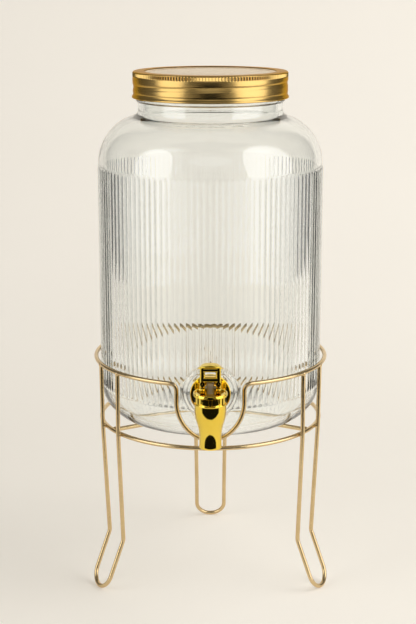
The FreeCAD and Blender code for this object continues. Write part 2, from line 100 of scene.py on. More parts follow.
def grain_group():
    """Shared uneven surface on Object coordinates: a cloudy colour between two, a finer roughness between
    two values, and a finest height for bump."""
    group = bpy.data.node_groups.new("surface_grain", "ShaderNodeTree")
    for way, sockets in (("INPUT", ("Scale", "Dark", "Light", "Smooth", "Rough")),
                         ("OUTPUT", ("Color", "Roughness", "Height"))):
        for socket in sockets:
            kind = "NodeSocketColor" if socket in ("Dark", "Light", "Color") else "NodeSocketFloat"
            group.interface.new_socket(socket, in_out=way, socket_type=kind)
    nodes, links = group.nodes, group.links
    given, result = nodes.new("NodeGroupInput"), nodes.new("NodeGroupOutput")
    place = nodes.new("ShaderNodeTexCoord")

    def cloud(times):
        """Noise at a multiple of the scale, stretched from its middle range to 0 to 1."""
        kinds = ("Math", "TexNoise", "MapRange")
        scale, noise, stretch = (nodes.new("ShaderNode" + kind) for kind in kinds)
        scale.operation = "MULTIPLY"
        scale.inputs[1].default_value = times
        noise.inputs["Detail"].default_value = 3.0
        stretch.inputs["From Min"].default_value = 0.3
        stretch.inputs["From Max"].default_value = 0.7
        links.new(given.outputs["Scale"], scale.inputs[0])
        links.new(scale.outputs[0], noise.inputs["Scale"])
        links.new(place.outputs["Object"], noise.inputs["Vector"])
        links.new(noise.outputs["Fac"], stretch.inputs["Value"])
        return stretch

    mix = nodes.new("ShaderNodeMix")
    mix.data_type = "RGBA"
    links.new(cloud(1.0).outputs["Result"], mix.inputs["Factor"])
    links.new(given.outputs["Dark"], mix.inputs["A"])
    links.new(given.outputs["Light"], mix.inputs["B"])
    links.new(mix.outputs["Result"], result.inputs["Color"])
    gloss = cloud(6.0)
    links.new(given.outputs["Smooth"], gloss.inputs["To Min"])
    links.new(given.outputs["Rough"], gloss.inputs["To Max"])
    links.new(gloss.outputs["Result"], result.inputs["Roughness"])
    links.new(cloud(20.0).outputs["Result"], result.inputs["Height"])
    return group


surface_grain = grain_group()


def finish(name, scale, rough, dark=None, light=None, relief=None, **sockets):
    """Principled material: constants on its own sockets; colour, roughness and bump from the grain."""
    material = bpy.data.materials.new(name)
    material.use_nodes = True
    nodes, links = material.node_tree.nodes, material.node_tree.links
    shader = nodes["Principled BSDF"]
    for socket, value in sockets.items():
        shader.inputs[socket.replace("_", " ")].default_value = value
    grain = nodes.new("ShaderNodeGroup")
    grain.node_tree = surface_grain
    grain.inputs["Scale"].default_value = scale
    grain.inputs["Smooth"].default_value, grain.inputs["Rough"].default_value = rough
    links.new(grain.outputs["Roughness"], shader.inputs["Roughness"])
    if dark:
        grain.inputs["Dark"].default_value = (*dark, 1)
        grain.inputs["Light"].default_value = (*light, 1)
        links.new(grain.outputs["Color"], shader.inputs["Base Color"])
    if relief:
        bump = nodes.new("ShaderNodeBump")
        bump.inputs["Strength"].default_value, bump.inputs["Distance"].default_value = relief
        links.new(grain.outputs["Height"], bump.inputs["Height"])
        links.new(bump.outputs["Normal"], shader.inputs["Normal"])
    return material


wire_gold = finish("champagne_wire", 60.0, (0.18, 0.27), (0.66, 0.49, 0.26), (0.72, 0.55, 0.31),
                   relief=(0.04, 0.0002), Metallic=1.0)
hoop = around(LOWER_RADIUS, np.linspace(0, 360, 361), LOWER_HEIGHT)
piece("lower_hoop", [tube(hoop, UPRIGHT)[1:-1]], wire_gold, "stand", ["lower_ring"])

# Spokes. Three straight bars of the same wire, welded into the lower hoop and to each other under the middle
# of the jar, which stands on them.
LEG_TURNS = {"left": -60.0, "right": 60.0, "rear": 180.0}
SPOKE_END = LOWER_RADIUS - 1.0
for side, degrees in LEG_TURNS.items():
    outward = around(1.0, degrees, 0.0)
    bar = np.linspace(0, SPOKE_END, 40)[:, None] * outward + UPRIGHT * LOWER_HEIGHT
    piece("spoke_bar_" + side, [tube(bar, UPRIGHT)], wire_gold, "stand", ["spoke_" + side])

# Legs. Three hairpins of the same wire: two shanks a little closer at the ankle than at the top, bent out
# there, and a round loop that stands on the table. They are welded to the outside of the lower hoop and under
# the upper one.
UPPER_RADIUS, UPPER_HEIGHT = 109.4, 215.0
LEG_TOP_SPACING, LEG_COPE, LEG_GAP = 34.0, 1.0, 0.05
ANKLE_REACH, ANKLE_SPACING, ANKLE_HEIGHT = 103.4, 29.0, 49.3
TOE_REACH = 122.3
KNEE_BEND, ANKLE_BEND = 150.0, 10.0


def bend(a, corner, b, radius, count):
    """Points of the arc of that radius that rounds the corner between the directions to a and to b."""
    into, out = corner - a, b - corner
    into, out = into / np.linalg.norm(into), out / np.linalg.norm(out)
    turn = np.arccos(np.clip(into @ out, -1, 1))
    side = out - into * (into @ out)
    side /= np.linalg.norm(side)
    centre = corner - into * radius * np.tan(turn / 2) + side * radius
    s = np.linspace(0, turn, count)[:, None]
    return centre + radius * (into * np.sin(s) - side * np.cos(s))


top_reach = np.sqrt(UPPER_RADIUS ** 2 - LEG_TOP_SPACING ** 2 / 4)
knee_share = (LOWER_HEIGHT - ANKLE_HEIGHT) / (UPPER_HEIGHT - ANKLE_HEIGHT)
knee_spacing = ANKLE_SPACING + knee_share * (LEG_TOP_SPACING - ANKLE_SPACING)
knee_reach = np.sqrt((LOWER_RADIUS + 2 * WIRE_RADIUS + LEG_GAP) ** 2 - knee_spacing ** 2 / 4)


def shank(degrees, side):
    """Centre line of half a leg: down from the upper hoop past the lower one, out at the ankle, and a
    quarter circle to the tip of the toe; with the places of its two welds."""
    outward = around(1.0, degrees, 0.0)
    across = np.array([-outward[1], outward[0], 0.0]) * side / 2

    def at(spacing, reach, z):
        """Point at half the spacing to the side, a reach outwards and a height."""
        return outward * reach + across * spacing + UPRIGHT * z

    top = at(LEG_TOP_SPACING, top_reach, UPPER_HEIGHT - LEG_COPE)
    knee = at(knee_spacing, knee_reach, LOWER_HEIGHT)
    ankle = at(ANKLE_SPACING, ANKLE_REACH, ANKLE_HEIGHT)
    toe = at(ANKLE_SPACING, TOE_REACH, WIRE_RADIUS)
    tip = at(0.0, TOE_REACH, WIRE_RADIUS)
    line = np.concatenate([
        np.linspace(top, knee, 12)[:-1],
        bend(top, knee, ankle, KNEE_BEND, 6),
        bend(knee, ankle, toe, ANKLE_BEND, 10),
        bend(ankle, toe, tip, ANKLE_SPACING / 2, 20),
    ])
    inwards = 1.0 - 0.5 * WIRE_RADIUS / knee_reach * LEVEL
    return line, (top, knee * inwards)


welds = []
for side, degrees in LEG_TURNS.items():
    (left, left_welds), (right, right_welds) = shank(degrees, -1), shank(degrees, 1)
    path = np.concatenate([left, right[::-1][1:]])
    welds += [*left_welds, *right_welds, around(LOWER_RADIUS - WIRE_RADIUS, degrees, LOWER_HEIGHT)]
    piece("leg_wire_" + side, [tube(path, around(1.0, degrees, 0.0))], wire_gold, "stand",
          ["leg_" + side])

# Upper hoop. The same wire, bent down at the front into a U that leaves room for the tap, and welded on the
# tops of the legs. It steadies the jar and doesn't carry it.
DIP_HALF_WIDTH = 30.3
DIP_BOTTOM = 162.8
DIP_CORNER = 6.0
DIP_STRAIGHT = 17.0
DIP_SIDE_TURN = np.radians(50.0)


def dip_path():
    """Centre line of the upper hoop: round the back, bent down at both corners of the dip, along its
    straight sides, then side and bottom arcs that meet tangent."""
    reach = np.hypot(UPPER_RADIUS, DIP_CORNER)
    gap = np.arcsin(DIP_HALF_WIDTH / reach) + np.arctan(DIP_CORNER / UPPER_RADIUS)
    plane = -np.sqrt(reach ** 2 - DIP_HALF_WIDTH ** 2)
    c, s = np.cos(DIP_SIDE_TURN), np.sin(DIP_SIDE_TURN)
    arc_top = UPPER_HEIGHT - DIP_STRAIGHT
    drop = arc_top - DIP_BOTTOM
    side_radius = (drop * c - DIP_HALF_WIDTH * (1 - s)) / (c + s - 1)
    floor_radius = (DIP_HALF_WIDTH * s - drop * (1 - c)) / (c + s - 1)
    hoop = around(UPPER_RADIUS, np.linspace(180, np.degrees(gap), 120), UPPER_HEIGHT)
    turn = np.linspace(0, np.pi / 2, 12)[1:, None]
    inward = np.array([-np.cos(gap), -np.sin(gap), 0.0])
    corner = hoop[-1] + DIP_CORNER * (inward * np.sin(turn) - UPRIGHT * (1 - np.cos(turn)))
    a = np.linspace(0, DIP_SIDE_TURN, 24)
    flank = np.stack([DIP_HALF_WIDTH - side_radius * (1 - np.cos(a)), 0 * a + plane,
                      arc_top - side_radius * np.sin(a)], -1)
    a = np.linspace(DIP_SIDE_TURN, np.pi / 2, 30)[1:]
    floor = np.stack([floor_radius * np.cos(a), 0 * a + plane,
                      DIP_BOTTOM + floor_radius * (1 - np.sin(a))], -1)
    half = np.concatenate([hoop, corner, flank, floor])
    return np.concatenate([half, (half * np.array([-1, 1, 1]))[::-1][1:]])


path = dip_path()
dipped = tube(path, path * LEVEL)[1:-1]
piece("upper_hoop", [dipped], wire_gold, "stand", ["upper_ring"])

# Welds. A small nugget of steel filler at each place where two wires of the stand meet, left as it cooled and
# lacquered with the rest.
NUGGET = np.array([2.45, 2.45, 2.9])


def nugget(centre):
    """Ellipsoid: a half circle from pole to pole carried round, stretched to the nugget's half sizes."""
    v = np.linspace(0, np.pi, 11)[:, None]
    u = np.linspace(0, 2 * np.pi, 16, endpoint=False)[None]
    ball = np.broadcast_arrays(np.sin(v) * np.cos(u), np.sin(v) * np.sin(u), np.cos(v))
    return centre + NUGGET * np.stack(ball, -1)


piece("weld_nuggets", [nugget(place) for place in welds], wire_gold, "stand")

# Jar. One piece of clear pressed glass with 120 convex reeds on its wall, a round shoulder and heel, a hollow
# under its base, a bead and a thread at the neck, and a smooth boss for the tap. It stands loose on the
# spokes.
JAR_BOTTOM, JAR_RADIUS, JAR_WALL, BASE_THICKNESS = 156.9, 104.2, 4.5, 5.6
PUNT = np.array([[0.0, 3.0], [30.0, 2.3], [60.0, 0.0]])
FLOOR_CROWN = np.array([[36.0, 0.3], [0.0, 1.5]])
HEEL = 32.0
HEEL_TOP = JAR_BOTTOM + HEEL
SHOULDER, SHOULDER_RADIUS = (59.2, 399.45), 45.0
NECK, NECK_FILLET, MOUTH, MOUTH_FILLET = 66.8, 6.0, 61.0, 8.0
BEAD, BEAD_HEIGHT = 2.0, 457.4
FINISH, FINISH_LOW, FINISH_TOP, RIM = 67.6, 460.0, 479.0, 480.8
REED_COUNT, REED_HEIGHT, REED_ROOT, REED_RAMP, REED_INSET = 120, 0.7, 0.1, 3.0, 1.0
LOW_RUN_OUT, HIGH_RUN_OUT = (HEEL_TOP, HEEL_TOP + 5.0), (394.6, SHOULDER[1])
BOSS_ROWS, PLAIN_ROWS, INNER_ROWS = (HEEL_TOP + 7.0, 231.0), (260.0, 392.0), (300.0, 200.0)
BOSS_RADIUS, BOSS_HEIGHT, BOSS_FACE, BOSS_EDGE = 22.5, 207.1, 105.6, 4.0
FRONT_COSINE = 0.5
THREAD_PITCH, THREAD_HEIGHT, THREAD_START = 6.0, 1.5, 463.0
THREAD_LOW, THREAD_TOP, THREAD_FADE = 462.0, 478.0, 3.0
GLASS_TINT, GLASS_DENSITY, GLASS_SHADOW = (0.72, 0.90, 0.86, 1), 5.0, 0.08


def arc(centre, radius, start, end, count):
    """(radius, height) points of an arc, its angles in degrees from the outward direction."""
    s = np.radians(np.linspace(start, end, count))
    return np.stack([centre[0] + radius * np.cos(s), centre[1] + radius * np.sin(s)], -1)


def levels(radius, low, high, count):
    """(radius, height) points up a straight wall."""
    return np.stack([np.full(count, radius), np.linspace(low, high, count)], -1)


def smooth(edge, width, value):
    """0 to 1 as the value passes an edge, over a width."""
    t = np.clip((value - edge) / width + 0.5, 0, 1)
    return t * t * (3 - 2 * t)


def hollow_corner(radius, shoulder, fillet):
    """Centre of the fillet between an upright neck and the shoulder's arc, and its angle from that arc's
    centre: the two centres are one shoulder and one fillet radius apart."""
    across, away = radius + fillet - SHOULDER[0], shoulder + fillet
    rise = np.sqrt(away ** 2 - across ** 2)
    return (radius + fillet, SHOULDER[1] + rise), np.degrees(np.arctan2(rise, across))


def jar_outside():
    """(radius, height) points from the middle of the base up the outside to the rim."""
    heel = (JAR_RADIUS - HEEL, HEEL_TOP)
    corner, lean = hollow_corner(NECK, SHOULDER_RADIUS, NECK_FILLET)
    return np.concatenate([
        PUNT + [0.0, JAR_BOTTOM],
        arc(heel, HEEL, -90, -3, 15),
        levels(JAR_RADIUS, *LOW_RUN_OUT, 5),
        levels(JAR_RADIUS, *BOSS_ROWS, 18),
        levels(JAR_RADIUS, *PLAIN_ROWS, 2),
        levels(JAR_RADIUS, *HIGH_RUN_OUT, 6),
        arc(SHOULDER, SHOULDER_RADIUS, 5, lean, 11),
        arc(corner, NECK_FILLET, 170 + lean, 180, 5),
        arc((NECK, BEAD_HEIGHT), BEAD, -80, 65, 6),
        levels(FINISH, FINISH_LOW, FINISH_TOP, 13),
        [[FINISH - 0.4, RIM - 0.5], [FINISH - 1.2, RIM], [MOUTH + 1.2, RIM], [MOUTH + 0.3, RIM - 0.5]],
    ])


def jar_inside():
    """(radius, height) points from the rim down the inside to the middle of the floor."""
    heel = (JAR_RADIUS - HEEL, JAR_BOTTOM + BASE_THICKNESS + HEEL - JAR_WALL)
    corner, lean = hollow_corner(MOUTH, SHOULDER_RADIUS - JAR_WALL, MOUTH_FILLET)
    return np.concatenate([
        [[MOUTH, RIM - 1.4]],
        arc(corner, MOUTH_FILLET, 180, 174 + lean, 7),
        arc(SHOULDER, SHOULDER_RADIUS - JAR_WALL, lean, 0, 9),
        levels(JAR_RADIUS - JAR_WALL, *INNER_ROWS, 2),
        arc(heel, HEEL - JAR_WALL, 0, -90, 9),
        FLOOR_CROWN + [0.0, JAR_BOTTOM + BASE_THICKNESS],
    ])


def reeded_jar(columns=7 * REED_COUNT):
    """Radius as a function of turn and level: the turned profile, plus reeds (circular arcs side by side, cut
    by a ramp at both ends), plus the boss (a plane across the front inside a circle), plus one helical
    thread (a bell curve over the distance from its winding)."""
    outside, inside = jar_outside(), jar_inside()
    profile = np.concatenate([outside, inside])
    turn = np.arange(columns) * 2 * np.pi / columns
    radius = np.repeat(profile[:, :1], columns, 1)
    height = np.repeat(profile[:, 1:], columns, 1)
    outer = (np.arange(len(profile)) < len(outside))[:, None]
    pitch = 2 * JAR_RADIUS * np.sin(np.pi / REED_COUNT)
    rise = REED_HEIGHT - REED_ROOT
    bow = (pitch ** 2 / 4 + rise ** 2) / (2 * rise)
    offset = (np.mod(turn * REED_COUNT / (2 * np.pi), 1.0) - 0.5) * pitch
    reed = REED_ROOT + np.sqrt(bow ** 2 - offset ** 2) - (bow - rise)
    from_ends = np.minimum(height - (HEEL_TOP + REED_INSET), SHOULDER[1] - REED_INSET - height)
    ramp = from_ends * REED_HEIGHT / REED_RAMP
    radius = radius + outer * np.clip(np.minimum(reed[None], ramp), 0, None)
    front = np.cos(turn)[None]
    spot = np.hypot(radius * np.sin(turn)[None], height - BOSS_HEIGHT)
    boss = outer * smooth(0.0, BOSS_EDGE, BOSS_RADIUS - spot) * (front > FRONT_COSINE)
    radius = radius + boss * (BOSS_FACE / np.maximum(front, FRONT_COSINE) - radius)
    climb = THREAD_PITCH * turn[None] / (2 * np.pi)
    winding = np.mod(height - THREAD_START - climb, THREAD_PITCH) - THREAD_PITCH / 2
    wound = outer * smooth(THREAD_LOW, THREAD_FADE, height) * smooth(-THREAD_TOP, THREAD_FADE, -height)
    radius = radius + wound * THREAD_HEIGHT * np.exp(-winding ** 2)
    return np.stack([radius * np.sin(turn), -radius * np.cos(turn), height], -1)


clear_glass = finish("clear_glass", 0.7, (0.0, 0.02), relief=(0.05, 0.002),
                     Base_Color=(0.985, 0.995, 0.99, 1), Transmission_Weight=1.0, IOR=1.5)
nodes, links = clear_glass.node_tree.nodes, clear_glass.node_tree.links
ray = nodes.new("ShaderNodeLightPath")
shade = nodes.new("ShaderNodeMapRange")
shade.inputs["To Min"].default_value = 1.0
shade.inputs["To Max"].default_value = GLASS_SHADOW
links.new(ray.outputs["Is Shadow Ray"], shade.inputs["Value"])
links.new(shade.outputs["Result"], nodes["Principled BSDF"].inputs["Alpha"])
absorb = nodes.new("ShaderNodeVolumeAbsorption")
absorb.inputs["Color"].default_value = GLASS_TINT
absorb.inputs["Density"].default_value = GLASS_DENSITY
links.new(absorb.outputs["Volume"], nodes["Material Output"].inputs["Volume"])
piece("reeded_jar", [reeded_jar()], clear_glass, "jar", ["glass_jar"])

# Tap body. One moulding, vacuum-plated in bright yellow gold: barrel and spout, a panelled band under the
# bonnet, a dished flange, and a hollow shank that goes through the hole in the glass.
BARREL_Y, SHANK_Z = -131.6, 207.1
BARREL, SPOUT, SPOUT_LIP, SPOUT_END = 13.95, 9.7, 9.95, 165.0
BAND, BAND_LOW, BAND_TOP = 13.45, 206.1, 212.6
CHAMBER, SEAT_HEIGHT, OUTLET = 10.8, 192.1, 7.0
TAPER_TOP, TAPER_LOW, FLARE_TOP = 200.6, 174.6, 173.0
PANELS, PANEL_EDGE, PANEL_RIB, RIB_HEIGHT = 8, 8.0, 2.2, 0.85
INLET, SHANK, SHANK_END, BARREL_ENTRY = 4.2, 7.8, 86.7, 121.5
FLANGE, FLANGE_BACK, FLANGE_FRONT = 18.05, 107.6, 110.75
DISH, DISH_FACE = 17.3, 109.0
plated_gold = finish("plated_gold", 45.0, (0.04, 0.09), (0.86, 0.60, 0.07), (0.93, 0.69, 0.11),
                     relief=(0.04, 0.0002), Metallic=1.0)


def turned(profile, columns=128):
    """A (radius, height) profile carried round the tap's upright axis."""
    s = np.arange(columns) * 2 * np.pi / columns
    profile = np.asarray(profile, float)
    return np.stack([profile[:, :1] * np.sin(s), BARREL_Y - profile[:, :1] * np.cos(s),
                     np.repeat(profile[:, 1:], columns, 1)], -1)


def turned_on_shank(profile, columns=96):
    """A (radius, distance from the jar's axis) profile carried round the tap's level axis."""
    s = np.arange(columns) * 2 * np.pi / columns
    profile = np.asarray(profile, float)
    return np.stack([profile[:, :1] * np.sin(s), np.repeat(-profile[:, 1:], columns, 1),
                     SHANK_Z + profile[:, :1] * np.cos(s)], -1)


def panelled_barrel(columns=480):
    """The barrel's turned profile, an ogee of two equal arcs between barrel and spout, with pairs of thin
    upright ribs raised in its band."""
    lean = 2 * np.arctan((BARREL - SPOUT) / (TAPER_TOP - TAPER_LOW))
    ogee, sweep = (TAPER_TOP - TAPER_LOW) / (2 * np.sin(lean)), np.degrees(lean)
    profile = np.concatenate([
        [[CHAMBER, BAND_TOP], [BAND - 0.15, BAND_TOP], [BAND, BAND_TOP - 0.2]],
        levels(BAND, BAND_TOP - 0.4, BAND_LOW + 0.2, 6),
        [[BAND + 0.05, BAND_LOW], [BARREL + 0.35, BAND_LOW], [BARREL + 0.5, BAND_LOW - 0.2],
         [BARREL + 0.5, BAND_LOW - 0.7], [BARREL + 0.3, BAND_LOW - 1.1], [BARREL, BAND_LOW - 1.4]],
        arc((BARREL - ogee, TAPER_TOP), ogee, 0, -sweep, 16),
        arc((SPOUT + ogee, TAPER_LOW), ogee, 180 - sweep, 180, 16)[1:],
        np.linspace((SPOUT, FLARE_TOP), (SPOUT_LIP, SPOUT_END + 0.6), 6),
        [[SPOUT_LIP - 0.25, SPOUT_END + 0.1], [SPOUT_LIP - 0.65, SPOUT_END], [OUTLET + 0.3, SPOUT_END],
         [OUTLET, SPOUT_END + 0.3], [OUTLET, SEAT_HEIGHT], [CHAMBER, SEAT_HEIGHT], [CHAMBER, BAND_TOP]],
    ])
    grid = turned(profile, columns)
    s = np.mod(np.arange(columns) * 360.0 / columns, 360.0 / PANELS)
    near = np.minimum(np.abs(s - PANEL_EDGE), np.abs(s - 360.0 / PANELS + PANEL_EDGE))
    radius, height = profile.T
    on_band = (height < BAND_TOP - 0.1) & (height > BAND_LOW + 0.1) & (radius > BAND - 0.3)
    rib = np.clip(PANEL_RIB - near, 0, 1)[None] * on_band[:, None]
    axis = np.array([0, BARREL_Y, 0])
    return grid + RIB_HEIGHT * rib[..., None] * (grid - axis) * LEVEL / BAND


tap_neck = [[9.2, DISH_FACE], [8.4, 110.6], [7.4, 113.2], [5.9, 116.2], [5.4, 117.2], [5.4, BARREL_ENTRY]]
flange_and_shank = turned_on_shank([
    [INLET, SHANK_END], [SHANK - 0.2, SHANK_END], [SHANK, SHANK_END + 0.3], [SHANK, FLANGE_BACK],
    [FLANGE - 0.45, FLANGE_BACK], [FLANGE, FLANGE_BACK + 0.4], [FLANGE, FLANGE_FRONT - 0.45],
    [FLANGE - 0.15, FLANGE_FRONT - 0.15], [FLANGE - 0.4, FLANGE_FRONT], [DISH + 0.1, FLANGE_FRONT - 0.15],
    [DISH, FLANGE_FRONT - 0.45], [DISH, DISH_FACE], *tap_neck, [INLET, BARREL_ENTRY], [INLET, SHANK_END],
])
piece("spout_and_flange", [panelled_barrel(), flange_and_shank], plated_gold, "jar",
      ["tap_body"], sharp=40.0)

# Washers and nut. Two translucent silicone washers, one on each face of the glass, and a white moulded nut on
# the shank inside the jar, which clamps the tap.
soft_white = finish("soft_silicone", 90.0, (0.45, 0.6), (0.80, 0.80, 0.77), (0.90, 0.90, 0.88),
                    Subsurface_Weight=0.2, Subsurface_Scale=0.002)
nut_white = finish("nut_plastic", 70.0, (0.25, 0.4), (0.82, 0.82, 0.80), (0.90, 0.90, 0.88))


def dress(node, material):
    """Give a CAD node a material in place of its own."""
    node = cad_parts[node]
    node.data.materials.clear()
    node.data.materials.append(material)


dress("outer_washer", soft_white)
dress("inner_washer", soft_white)
dress("lock_nut", nut_white)

# Bonnet. A plated cap pressed on the barrel, with a shallow dish that the lever's feet stand in, a raised rim
# with two notches, and a hole that guides the stem.
BONNET, BONNET_TOP, BONNET_PLATE, BONNET_LOW = 14.98, 215.5, 214.7, 210.8
SPIGOT, STEM_HOLE = 10.75, 3.58
NOTCH_TURN, NOTCH_HALF = 52.0, 4.2


def notched_bonnet(columns=240):
    """The cap's turned profile, its rim sunk to the dish where the turn is within a notch."""
    grid = turned([
        [STEM_HOLE, BONNET_LOW], [SPIGOT, BONNET_LOW], [SPIGOT, BAND_TOP], [BONNET - 0.3, BAND_TOP],
        [BONNET, BAND_TOP + 0.3], [BONNET, BONNET_TOP - 0.5], [BONNET - 0.2, BONNET_TOP - 0.1],
        [BONNET - 0.6, BONNET_TOP], [BONNET - 1.1, BONNET_TOP], [BONNET - 1.35, BONNET_TOP - 0.15],
        [BONNET - 1.4, BONNET_PLATE], [STEM_HOLE, BONNET_PLATE], [STEM_HOLE, BONNET_LOW],
    ], columns)
    s = np.mod(np.arange(columns) * 360.0 / columns + 180, 360) - 180
    notch = (np.abs(np.abs(s) - NOTCH_TURN) < NOTCH_HALF)[None]
    grid[..., 2] = np.where(notch, np.minimum(grid[..., 2], BONNET_PLATE), grid[..., 2])
    return grid


piece("bonnet", [notched_bonnet()], plated_gold, "jar", ["tap_bonnet"], sharp=40.0)

# Plunger. A translucent moulded stem with a dome at the top, crossed there by a steel pin; the lever lifts it
# by the pin, and the silicone cup pushed on its lower end leaves the seat.
STEM, STEM_CROWN, STEM_LOW, PIN_Z = 3.5, 5.2, 193.8, 219.75
STEM_ROWS = (STEM_LOW + 6.0, PIN_Z + 3.0)
# The stem's brown-gold colour is a painted reflection of the gold tap around it; the plastic itself is pale
# and clear.
reflection_tinted = finish("stem_painted_reflection", 120.0, (0.14, 0.26), (0.46, 0.37, 0.25), (0.56, 0.47, 0.34),
                Transmission_Weight=0.45, IOR=1.45)
crown_start = np.degrees(np.arccos(STEM / STEM_CROWN))
stem = np.concatenate([
    [[0.0, STEM_LOW], [STEM - 0.2, STEM_LOW], [STEM, STEM_LOW + 0.2]],
    levels(STEM, *STEM_ROWS, 5),
    arc((0.0, PIN_Z), STEM_CROWN, crown_start, 90, 8),
])
piece("stem", [turned(stem, 48)], reflection_tinted, "plunger", ["plunger_stem"])
pin_steel = finish("pin_steel", 300.0, (0.2, 0.35), (0.48, 0.48, 0.48), (0.62, 0.62, 0.61), Metallic=1.0)
dress("lever_pin", pin_steel)
dress("seat_cup", soft_white)

# Lever. A plated moulding on the pin: two arms with cam feet and a blind round pocket each, its shade painted
# dark as a ring inside, a cross bar and a top bar with a window between them, and a bow-shaped thumb piece
# with two lobes at the back.
CAM_BASE, CAM_LIFT, CAM_SWING = 4.85, 3.0, np.radians(80)
CAM_RATE = CAM_LIFT / CAM_SWING
ARM_MIDDLE, ARM_HALF, ARM_BOW, ARM_TOP = 6.925, 2.3, 2.0, 18.9
POST_FRONT, POST_BACK, HEEL_REACH, TOE_HEIGHT = 4.5, 3.5, 4.6, 1.6
POCKET_HEIGHT, POCKET, POCKET_PIP, POCKET_DEPTH, POCKET_EDGE = 4.0, 2.0, 0.7, 4.0, 0.3
FOOT_ROWS, POCKET_ROWS, POST_ROWS = (-CAM_BASE, 1.5), (1.6, 6.4), (6.8, ARM_TOP)
# Painted shade: near black painted in each pocket's ring, where the recess lies in shade.
POCKET_SHADE = (0.02, 0.012, 0.004, 1)
CROSS_BAR, TOP_BAR, BAR_CLOSING = (5.4, 10.3), (14.6, 18.9), 0.1
THUMB_BASE, THUMB_HALF, THUMB_CROWN, THUMB_HOLLOW = 17.1, 11.7, 4.4, 2.0
THUMB_FRONT, THUMB_TIP, LOBE, LOBE_BACK, LOBE_NOTCH = 6.5, 2.0, 4.5, 6.5, 1.2


def from_pin(across, forward, up):
    """Points from their distances across, forward of and above the pin."""
    return np.stack(np.broadcast_arrays(across, BARREL_Y - forward, PIN_Z + up), -1)


def arm(side):
    """Front and back faces as functions of height and place across: the front follows the foot's involute
    cam and then the post, both are bowed across, and a ring is sunk in the front."""
    up = np.concatenate([
        np.linspace(*FOOT_ROWS, 34),
        np.linspace(*POCKET_ROWS, 46),
        np.linspace(*POST_ROWS, 20),
    ])
    turn = np.linspace(0, CAM_SWING, 90)
    reach = CAM_BASE + CAM_RATE * turn
    cam = reach * np.sin(turn) + CAM_RATE * np.cos(turn), CAM_RATE * np.sin(turn) - reach * np.cos(turn)
    front = np.interp(up, [*cam[1], TOE_HEIGHT, ARM_TOP], [*cam[0], POST_FRONT, POST_FRONT])[:, None]
    back = -np.interp(up, [0.0, ARM_TOP], [HEEL_REACH, POST_BACK])[:, None]
    up = up[:, None]
    share = np.sin(np.linspace(-np.pi / 2, np.pi / 2, 36))[None]
    bow = ARM_BOW * (1 - np.sqrt(1 - share ** 2))
    spot = np.hypot(ARM_HALF * share, up - POCKET_HEIGHT)
    pocket = POCKET_DEPTH * smooth(POCKET_PIP, POCKET_EDGE, spot) * smooth(-POCKET, POCKET_EDGE, -spot)
    across = side * (ARM_MIDDLE + ARM_HALF * share)
    faces = from_pin(across, front - bow - pocket, up), from_pin(across, back + bow, up)
    loop = np.concatenate([faces[0], faces[1][:, ::-1]], 1)
    ends = [np.repeat(row.mean(0)[None, None], loop.shape[1], 1) for row in (loop[0], loop[-1])]
    return np.concatenate([ends[0], loop, ends[1]])


def rounded(across, front, back, low, high, power, count=48):
    """Rows of rounded rectangles between front and back, low and high, one at each place across: cosine and
    sine drawn towards the corners by a root, the sharper the higher the power."""
    s = np.linspace(0, 2 * np.pi, count, endpoint=False)[None]
    u = np.sign(np.cos(s)) * np.abs(np.cos(s)) ** (2 / power)
    v = np.sign(np.sin(s)) * np.abs(np.sin(s)) ** (2 / power)
    forward = (front + back) / 2 + (front - back) / 2 * u
    return from_pin(across, forward, (high + low) / 2 + (high - low) / 2 * v)


def thumb_piece():
    """A crescent between two arcs seen from the front, with two lobes at the back seen from above, its
    section a rounded rectangle at each place across."""
    x = THUMB_HALF * np.sin(np.linspace(-np.pi / 2, np.pi / 2, 61))[:, None]

    def dome(crown):
        """Height over its chord of an arc as wide as the thumb piece, from the height at its middle."""
        radius = (THUMB_HALF ** 2 + crown ** 2) / (2 * crown)
        return crown - radius + np.sqrt(radius ** 2 - x ** 2)

    front = THUMB_TIP + dome(THUMB_FRONT - THUMB_TIP)
    past = np.clip(np.abs(x) - LOBE, 0, None) / (THUMB_HALF - LOBE)
    notch = LOBE_NOTCH * np.clip(1 - (x / LOBE) ** 2, 0, None)
    back = -(LOBE_BACK - notch - (LOBE_BACK + THUMB_TIP) * past ** 2)
    return rounded(x, front, back, THUMB_BASE + dome(THUMB_HOLLOW), THUMB_BASE + dome(THUMB_CROWN), 3.0)


def level_bar(low, high):
    """A bar between the arms: one rounded rectangle carried across, drawn to a point at both ends."""
    ends = np.array([-ARM_MIDDLE, -ARM_MIDDLE + BAR_CLOSING, ARM_MIDDLE - BAR_CLOSING, ARM_MIDDLE])
    share = np.array([0.0, 1.0, 1.0, 0.0])[:, None]
    middle, half = (low + high) / 2, (high - low) / 2 * share
    return rounded(ends[:, None], POST_FRONT * share, -POST_BACK * share, middle - half, middle + half, 4.0)


